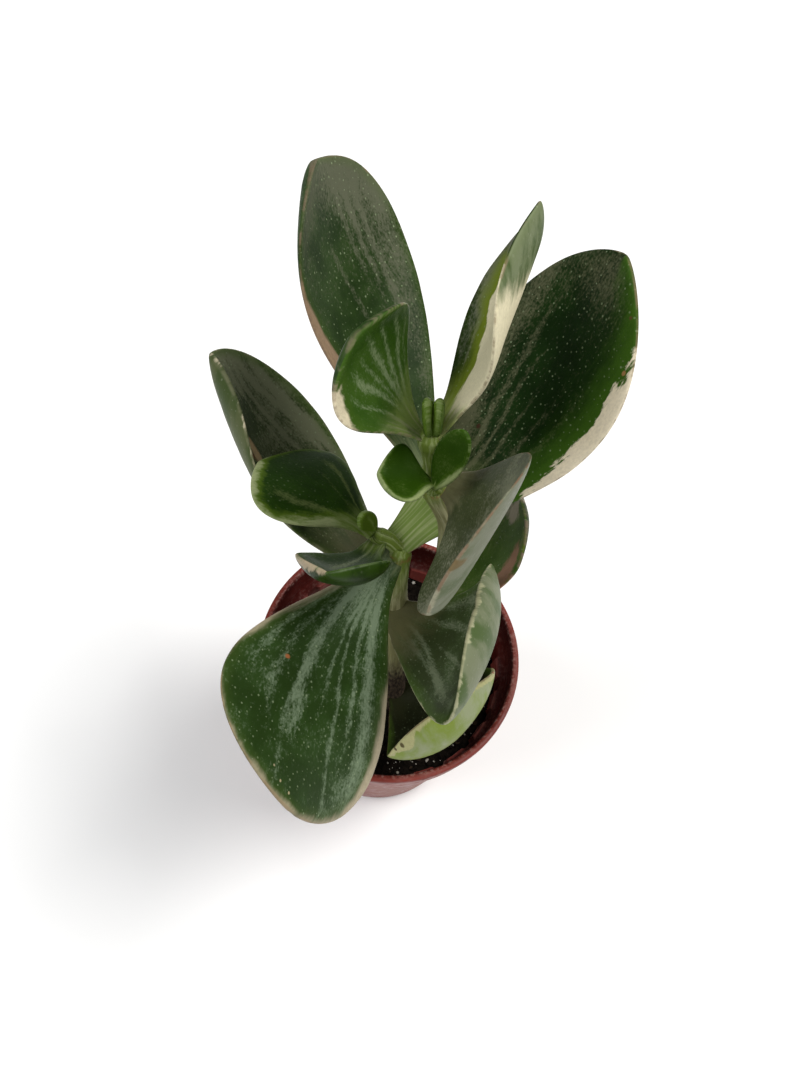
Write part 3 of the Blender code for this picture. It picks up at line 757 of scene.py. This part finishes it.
    leaf(
        "shoot_right_leaf", "leaf_shoot_right", (2.4, -1.7, 115.7), (35, 60.5, -2), (15, 3.5, 10),
        (10, 2.6), (22, 32), (0.54, 0.51), 12, thick=1.3, root=0.8, slot="young_leaf", sides=40, rings=40,
        wave=0.05, cream_left=((0, -2),),
        cream_right=((0, 0.3), (25, 0.7), (45, 0.4), (65, -0.4), (100, -1)), **young,
    )
    leaf(
        "top_left_leaf", "leaf_top_left", (-0.7, 3.1, 119.7), (-74, 25, 22), (69, -22, -43), (21, 9.7),
        (27, 16), (0.675, 0.51), 13, thick=1.7, root=1,
        cream_left=(
            (0, -0.8), (50, -0.5), (60, 0.3), (70, 1.7), (80, 2), (86, 1.2), (91, -0.3), (100, -1),
        ),
        cream_right=((0, -0.8), (72, -0.8), (85, -0.4), (100, -1)), deep=(24, 62, 6), fresh=(46, 96, 13),
        wax=(150, 200, 100), haze=0.2, dots=0.15, soft=0.5, vivid_share=0.4, stalk=(150, 210, 50),
        stalk_end=0.42, rim=(260, 200, 140), rim_width=0.3,
        streaks=(
            (58, 70, 8, 70, 14, 90), (40, 40, 7, 70, 14, 94), (30, 12, 9, 75, 14, 92),
            (16, -12, 6, 50, 14, 84), (5, -36, 10, 75, 12, 80), (-30, -62, 8, 55, 12, 72),
            (80, 88, 5, 50, 35, 100),
        ),
    )
    leaf(
        "top_right_leaf", "leaf_top_right", (0.7, 3.1, 119.6), (41.5, 46.5, -28.5), (31.5, 12.5, -51),
        (34, 11.2), (50, 7), (0.64, 1.04), 14, thick=1.7, root=1,
        painted_sheen=((80, -50, 10, 150, 90), (62, -90, 12, 30, 60)),
        cream_from=(
            (0, 70), (10, 20), (19, -12), (34, -3), (44, -33), (56, -62), (70, -70), (76, -55), (80, 20),
            (85, 90), (100, 90),
        ),
        deep=(13, 26, 5), fresh=(26, 48, 9), wax=(120, 126, 85), haze=0.3, dots=0.5, stalk=(270, 330, 80),
        stripes=0.4, stalk_end=0.25, vivid=(135, 178, 16), vivid_share=1, vivid_width=4.4,
        under=(145, 175, 88), under_dark=(40, 70, 14), cream=(680, 620, 420), under_cream_end=0.74,
        streaks=((-80, -80, 14, 35, 30, 70), (-62, -90, 10, 90, 44, 105), (-55, -75, 6, 60, 30, 80)),
    )
    bud = dict(
        relief=0.03, deep=(26, 66, 2), fresh=(50, 104, 5), haze=0.2, dots=0, wax=(180, 250, 60),
        rim=(160, 220, 70), rim_width=0.15, under=(85, 145, 16), under_dark=(45, 95, 6), specular=0.05,
        vivid=(90, 150, 15), cream=(260, 320, 120), stripes=0.4, soft=0.4,
        streaks=((40, 20, 25, 80, 10, 90),),
    )
    bud_skin = leaf_finish("bud_skin", seed=15, **bud)
    # The side bud takes a lighter copy of the bud skin: painted light, brighter than its own green to
    # make up for the shade it gets among the leaves
    bud.update(deep=(80, 140, 8), fresh=(120, 190, 16))
    lit_bud_skin = leaf_finish("lit_side_bud_skin", seed=15, **bud)
    top = TOP_NODE / MM
    side = SIDE_SHOOT / MM
    tiny = dict(slot="young_leaf", sides=28, rings=32, wave=0.03, thick=1.5)
    leaf(
        "bud_leaf_left", "main_stem", top + Vector((-0.2, -0.1, 0.2)), (-85, 79, 0), (5, 0, 0),
        (8.2, 1.5), (35, 35), (0.6, 0.6), 16, material=bud_skin, **tiny,
    )
    leaf(
        "bud_leaf_right", "main_stem", top + Vector((0.4, 0.1, 0.3)), (70, 88, 0), (8, 0, 0), (8.4, 1.3),
        (35, 35), (0.6, 0.6), 17, material=bud_skin, **tiny,
    )
    leaf(
        "bud_leaf_side", "main_stem", side + Vector((-0.3, -0.6, 0.3)), (-53, 43, 0), (10, 0, 0),
        (4.9, 1.9), (25, 25), (0.6, 0.6), 18, material=lit_bud_skin, **tiny,
    )


# Stems

def route_point(points, t):
    """A point and radius on the smooth line through the given points, t from 0 to 1."""
    spans = len(points) - 1
    span = min(int(t * spans), spans - 1)
    u = t * spans - span
    before, start, end, after = (points[max(0, min(spans, span + k))] for k in (-1, 0, 1, 2))

    def smooth(a, b, c, d):
        return 0.5 * (2 * b + (c - a) * u + (2 * a - 5 * b + 4 * c - d) * u * u
                      + (3 * b - a - 3 * c + d) * u ** 3)
    place = smooth(before[0], start[0], end[0], after[0])
    return place, smooth(before[1], start[1], end[1], after[1])


def stem(name, points, joints, scars, material, youth=(80.0, 81.0), sides=36, rings=110):
    """A round stem, made by shaping a sphere along a line, a little swollen at its joints.

    It turns from tan to young green between the two heights of youth, in millimetres.
    """
    form = bmesh.new()
    bmesh.ops.create_uvsphere(form, u_segments=sides, v_segments=rings, radius=1.0)
    layers = marked(form, STEM_MARKS)
    length = sum((b[0] - a[0]).length for a, b in zip(points, points[1:]))
    for corner in form.verts:
        x, y, z = corner.co
        pole = math.acos(max(-1.0, min(1.0, -z)))
        t = pole / math.pi
        place, radius = route_point(points, t)
        ahead = route_point(points, min(1.0, t + 0.01))[0]
        ahead = (ahead - route_point(points, max(0.0, t - 0.01))[0]).normalized()
        right = ahead.cross(Vector((0.0, 1.0, 0.0))).normalized()
        face = right.cross(ahead)
        ring = math.hypot(x, y)
        cosine, sine = (x / ring, y / ring) if ring > 1e-6 else (0.0, 0.0)
        gap = min((place - joint).length for joint in joints) / MM
        swell = 1.0 + 0.13 * math.exp(-((gap / 1.4) ** 2)) - 0.05 * math.exp(-((gap / 0.5) ** 2))
        cap = min(1.0, math.sqrt(max(0.0, min(t, 1.0 - t)) / 0.02))
        lumps = 1.0 + 0.05 * noise.noise(Vector((3 * cosine, 3 * sine, t * length / MM * 0.35)))
        offset = (right * cosine + face * sine) * radius * swell * cap * lumps
        corner.co = place + offset
        from_scar = min((place - scar).length for scar in scars) / MM
        values = (math.atan2(sine, cosine), t * length / MM, from_scar,
                  smooth_step(place.z / MM, *youth))
        for layer, value in zip(layers, values):
            corner[layer] = value
    bmesh.ops.recalc_face_normals(form, faces=form.faces)
    return finish_piece(name, form, material, "stem", "main_stem")


def build_stems():
    bark = stem_finish()
    scars = [LOWER_NODE, SHORT_STEM_TOP, UPPER_NODE, mm(5.4, -1.7, 81.0), mm(2.4, -6.4, 44.5)]
    joints = scars + [TOP_NODE, SIDE_SHOOT, FRONT_SHOOT]
    stem("trunk", [
        (TRUNK_ROOT, 0.8 * TRUNK_RADIUS),
        (TRUNK_AT_SOIL, TRUNK_RADIUS),
        (TRUNK_FORK, 1.02 * TRUNK_RADIUS),
        (LOWER_NODE, 1.15 * STEM_RADIUS),
        ((LOWER_NODE + SHORT_STEM_TOP) / 2, STEM_RADIUS),
        (SHORT_STEM_TOP, 0.95 * STEM_RADIUS),
        (SHORT_STEM_TOP + mm(0.0, 0.3, 1.3), 0.6 * STEM_RADIUS),
    ], joints, scars, bark, youth=(78.0, 92.0), rings=140)
    stem("tall_branch", [
        (TRUNK_FORK - mm(0.0, 0.0, 2.5), 0.6 * STEM_RADIUS),
        (mm(3.7, -3.9, 68.0), 0.9 * STEM_RADIUS),
        (mm(5.6, -2.2, 84.0), 0.9 * STEM_RADIUS),
        (mm(6.4, -0.6, 95.0), 0.9 * STEM_RADIUS),
        (mm(5.4, 0.9, 103.0), 0.9 * STEM_RADIUS),
        (UPPER_NODE, STEM_RADIUS),
        (mm(1.3, 2.6, 115.0), 0.72 * STEM_RADIUS),
        (TOP_NODE, 0.92 * STEM_RADIUS),
        (TOP_NODE + mm(-0.1, 0.2, 1.6), 0.55 * STEM_RADIUS),
    ], joints, scars, bark, youth=(106.0, 111.0), rings=140)
    stem("side_branch", [
        (SHORT_STEM_TOP + mm(0.4, 0.2, -0.6), 0.8 * SHOOT_RADIUS),
        ((SHORT_STEM_TOP + SIDE_SHOOT) / 2 + mm(0.0, 0.2, 0.9), SHOOT_RADIUS),
        (SIDE_SHOOT, SHOOT_RADIUS),
        (SIDE_SHOOT + mm(-0.9, 0.0, 1.1), 0.5 * SHOOT_RADIUS),
    ], joints, scars, bark, sides=28, rings=40)
    stem("front_branch", [
        (UPPER_NODE + mm(0.0, 0.3, 0.4), 0.8 * SHOOT_RADIUS),
        ((UPPER_NODE + FRONT_SHOOT) / 2, 0.85 * SHOOT_RADIUS),
        (FRONT_SHOOT, 0.9 * SHOOT_RADIUS),
        (FRONT_SHOOT + mm(0.0, -0.5, 0.8), 0.4 * SHOOT_RADIUS),
    ], joints, scars, bark, sides=28, rings=40)


# Pot

def body_radius(height):
    """Outer radius of the tapered wall under the collar."""
    share = height / (POT_HEIGHT - POT_COLLAR_DEPTH)
    return POT_FOOT_RADIUS + (POT_SHOULDER_RADIUS - POT_FOOT_RADIUS) * share


def build_pot():
    shoulder = POT_HEIGHT - POT_COLLAR_DEPTH
    collar_in = POT_COLLAR_RADIUS - POT_WALL
    inner = [(radius * MM, POT_FLOOR) for radius in (0.0, 5.0, 10.0, 12.0, 15.0)]
    levels = [POT_FLOOR, 12 * MM, 24 * MM, LUG_FOOT - 0.3 * MM, LUG_FOOT, LUG_FOOT + 0.3 * MM,
              LUG_TOP - 2.5 * MM, LUG_TOP - 0.3 * MM, LUG_TOP]
    inner += [(body_radius(level) - POT_WALL, level) for level in levels]
    lip = [(collar_in - 0.3 * MM, shoulder + 0.3 * MM), (collar_in - 0.1 * MM, shoulder + 0.9 * MM)]
    lip += [(POT_RIM_RADIUS - inward * MM, POT_HEIGHT - down * MM) for inward, down in LIP_SHAPE]
    lip += [
        (POT_COLLAR_RADIUS, POT_HEIGHT - 1.8 * MM),
        (POT_COLLAR_RADIUS - 0.25 * MM, shoulder + 0.7 * MM),
        (POT_COLLAR_RADIUS - 0.3 * MM, shoulder + 0.4 * MM),
        (POT_SHOULDER_RADIUS, shoulder - 0.4 * MM),
    ]
    outer = [(body_radius(level), level) for level in
             (40 * MM, 36 * MM, 24 * MM, 12 * MM, 4 * MM, 1.2 * MM)]
    foot = [(POT_FOOT_RADIUS, 0.5 * MM), (POT_FOOT_RADIUS - 0.15 * MM, 0.15 * MM),
            (POT_FOOT_RADIUS - 0.5 * MM, 0.0), (16.5 * MM, 0.0)]
    foot += [(radius * MM, 0.35 * MM) for radius in (16.0, 10.0, 0.0)]
    form = turned(inner + lip + outer + foot, POT_STEPS)
    outside, rim, lug, lip_edge = marked(form, POT_MARKS)
    for corner in form.verts:
        radius = math.hypot(corner.co.x, corner.co.y)
        height = corner.co.z
        wall_middle = POT_COLLAR_RADIUS - 0.5 * POT_WALL
        if height < shoulder:
            wall_middle = body_radius(height) - 0.5 * POT_WALL
        corner[outside] = 1.0 if radius > wall_middle and height < POT_HEIGHT - 1.5 * MM else 0.0
        turn = math.atan2(corner.co.y, corner.co.x) / math.tau * STACKING_LUGS
        on_lug = abs(turn - math.floor(turn) - 0.5) < 0.3
        inside = radius < wall_middle and LUG_FOOT - 0.05 * MM < height < LUG_TOP - 0.05 * MM
        lip_share = (radius - (POT_RIM_RADIUS - POT_LIP)) / POT_LIP
        on_rim = height > POT_HEIGHT - 1.55 * MM and lip_share > -0.1
        corner[rim] = smooth_step(lip_share, 0.1, 0.35) if on_rim else 0.0
        if height > POT_HEIGHT - 0.6 * MM and lip_share < 0.3:
            corner[lip_edge] = 0.7
        elif radius < wall_middle and abs(height - shoulder) < 1.0 * MM:
            corner[lip_edge] = 0.25
        if inside and on_lug and height > LUG_FOOT + 0.1 * MM:
            corner[lug] = 1.0
            corner.co.x -= corner.co.x / radius * LUG_DEPTH
            corner.co.y -= corner.co.y / radius * LUG_DEPTH
    drill = bmesh.new()
    for hole in range(DRAIN_HOLES):
        angle = math.tau * (hole + 0.5) / DRAIN_HOLES
        made = bmesh.ops.create_cone(drill, cap_ends=True, segments=32, depth=8 * MM,
                                     radius1=DRAIN_RADIUS, radius2=DRAIN_RADIUS)
        middle = Vector((math.cos(angle), math.sin(angle), 0.0)) * DRAIN_RING_RADIUS
        bmesh.ops.translate(drill, verts=made["verts"], vec=middle)
    cutter = into_scene("drain_drill", drill)
    pot = finish_piece("nursery_pot", form, pot_finish(), "pot_plastic", "pot")
    cut = pot.modifiers.new("drain_holes", "BOOLEAN")
    cut.operation = "DIFFERENCE"
    cut.solver = "EXACT"
    cut.object = cutter
    bpy.context.view_layer.update()
    evaluated = pot.evaluated_get(bpy.context.evaluated_depsgraph_get())
    drilled = bpy.data.meshes.new_from_object(evaluated)
    pot.modifiers.clear()
    pot.data = drilled
    pot.data.set_sharp_from_angle(angle=math.radians(38))
    bpy.data.objects.remove(cutter, do_unlink=True)


# Soil

def soil_height(x, y):
    """The gently uneven top of the soil, lower near the wall."""
    across = math.hypot(x, y) / POT_SHOULDER_RADIUS
    ripple = math.sin(330 * x + 1.3) * math.cos(290 * y - 0.4)
    ripple += 0.5 * math.sin(760 * x - 610 * y + 0.8)
    rolling = SOIL_LEVEL + SOIL_RIPPLE * ripple * (1 - 0.5 * across) - 1.2 * MM * across ** 3
    lumps = noise.fractal(Vector((x, y, 0.0)) * 900.0, 0.6, 2.0, 3)
    return rolling + 0.35 * MM * lumps


def build_soil():
    edge = body_radius(SOIL_LEVEL) - POT_WALL - 0.2 * MM
    foot = body_radius(SOIL_FOOT) - POT_WALL - 0.3 * MM
    rings = 46
    profile = [(edge * ring / rings, SOIL_LEVEL) for ring in range(rings + 1)]
    profile += [(edge - 0.1 * MM, SOIL_LEVEL - 2.5 * MM), (foot, SOIL_FOOT), (0.0, SOIL_FOOT)]
    form = turned(profile, SOIL_STEPS)
    for corner in form.verts:
        if corner.co.z > SOIL_LEVEL - 0.1 * MM:
            corner.co.z = soil_height(corner.co.x, corner.co.y)
    finish_piece("potting_soil", form, soil_finish(), "soil", "soil")


def scatter(name, count, sizes, material, tones, chance, squash, ring=(0.0, 1.0),
            arc=(0.0, math.tau)):
    """Loose grains that lie half sunk in the soil's top."""
    form = bmesh.new()
    tone = form.verts.layers.float.new("tone")
    edge = body_radius(SOIL_LEVEL) - POT_WALL - 0.9 * MM
    for _ in range(count):
        away = edge * math.sqrt(chance.uniform(ring[0] ** 2, ring[1] ** 2))
        turn = chance.uniform(*arc)
        x, y = away * math.cos(turn), away * math.sin(turn)
        if (Vector((x, y)) - TRUNK_AT_SOIL.to_2d()).length < TRUNK_RADIUS + 0.6 * MM:
            continue
        size = chance.uniform(*sizes) * MM
        spin = Quaternion([chance.gauss(0, 1) for _ in range(4)]).normalized()
        shape = Matrix.Diagonal((1.0, chance.uniform(*squash), chance.uniform(*squash), 1.0))
        place = Matrix.Translation((x, y, soil_height(x, y) + 0.25 * size))
        made = bmesh.ops.create_icosphere(
            form, subdivisions=1, radius=size, matrix=place @ spin.to_matrix().to_4x4() @ shape,
        )
        shade = chance.uniform(*tones)
        for corner in made["verts"]:
            corner.co += Vector([chance.uniform(-1, 1) for _ in range(3)]) * 0.16 * size
            corner[tone] = shade
    return finish_piece(name, form, material, "soil", "soil")


def build_litter():
    chance = random.Random(41)
    crumbs = scatter("peat_crumbs_on_soil", CRUMBS, (0.25, 0.75), crumb_finish(), (0.0, 1.0),
                     chance, (0.45, 1.0))
    crumbs.data.set_sharp_from_angle(angle=math.radians(50))
    white = perlite_finish()
    scatter("perlite_on_soil", PERLITE_GRAINS, (0.25, 0.55), white, (0.0, 1.0), chance,
            (0.7, 1.0), ring=(0.2, 1.0))
    scatter("perlite_by_wall", WALL_GRAINS, (0.10, 0.28), white, (0.5, 1.0), chance,
            (0.6, 1.0), ring=(0.78, 1.0), arc=WALL_GRAIN_ARC)


# Stage

def soft_light(name, place, aim, size, power, tint=(1.0, 1.0, 1.0)):
    lamp = bpy.data.lights.new(name, "AREA")
    lamp.shape = "DISK"
    lamp.size = size
    lamp.energy = power
    lamp.color = tint
    item = bpy.data.objects.new(name, lamp)
    item.location = place
    item.rotation_euler = (Vector(aim) - Vector(place)).to_track_quat("-Z", "Y").to_euler()
    bpy.context.scene.collection.objects.link(item)


def build_stage():
    form = bmesh.new()
    bmesh.ops.create_grid(form, x_segments=8, y_segments=8, size=1.6)
    floor = into_scene("floor", form)
    floor.data.materials.append(floor_finish())
    middle = (0.0, 0.0, 0.08)
    soft_light("window_light", (0.70, 0.28, 1.45), middle, 0.80, 22.0, (1.0, 0.985, 0.96))
    soft_light("left_fill", (-1.00, -0.35, 1.20), middle, 0.90, 11.0, (0.97, 0.98, 1.0))
    soft_light("front_fill", (0.10, -1.20, 0.60), middle, 0.80, 3.5)
    world = bpy.data.worlds.new("soft_room")
    world.use_nodes = True
    sky = world.node_tree.nodes["Background"]
    sky.inputs["Color"].default_value = (0.98, 0.99, 1.0, 1.0)
    sky.inputs["Strength"].default_value = 0.35
    bpy.context.scene.world = world
    bpy.context.scene.view_settings.view_transform = "Standard"


def build_camera():
    level = math.cos(CAMERA_PITCH)
    ahead = Vector((math.sin(CAMERA_PAN) * level, math.cos(CAMERA_PAN) * level,
                    -math.sin(CAMERA_PITCH)))
    right = Vector((math.cos(CAMERA_PAN), -math.sin(CAMERA_PAN), 0.0))
    up = right.cross(ahead)
    cosine, sine = math.cos(CAMERA_ROLL), math.sin(CAMERA_ROLL)
    across = right * cosine + up * sine
    upward = up * cosine - right * sine
    lens = bpy.data.cameras.new("camera")
    lens.sensor_fit = "VERTICAL"
    lens.sensor_height = FILM_HEIGHT
    lens.lens = CAMERA_LENS
    lens.clip_start = 0.01
    item = bpy.data.objects.new("camera", lens)
    turn = Matrix((across, upward, -ahead)).transposed().to_4x4()
    item.matrix_world = Matrix.Translation(CAMERA_PLACE) @ turn
    bpy.context.scene.collection.objects.link(item)
    bpy.context.scene.camera = item


build_leaves()
build_stems()
build_pot()
build_soil()
build_litter()
build_stage()
build_camera()

bpy.context.view_layer.update()
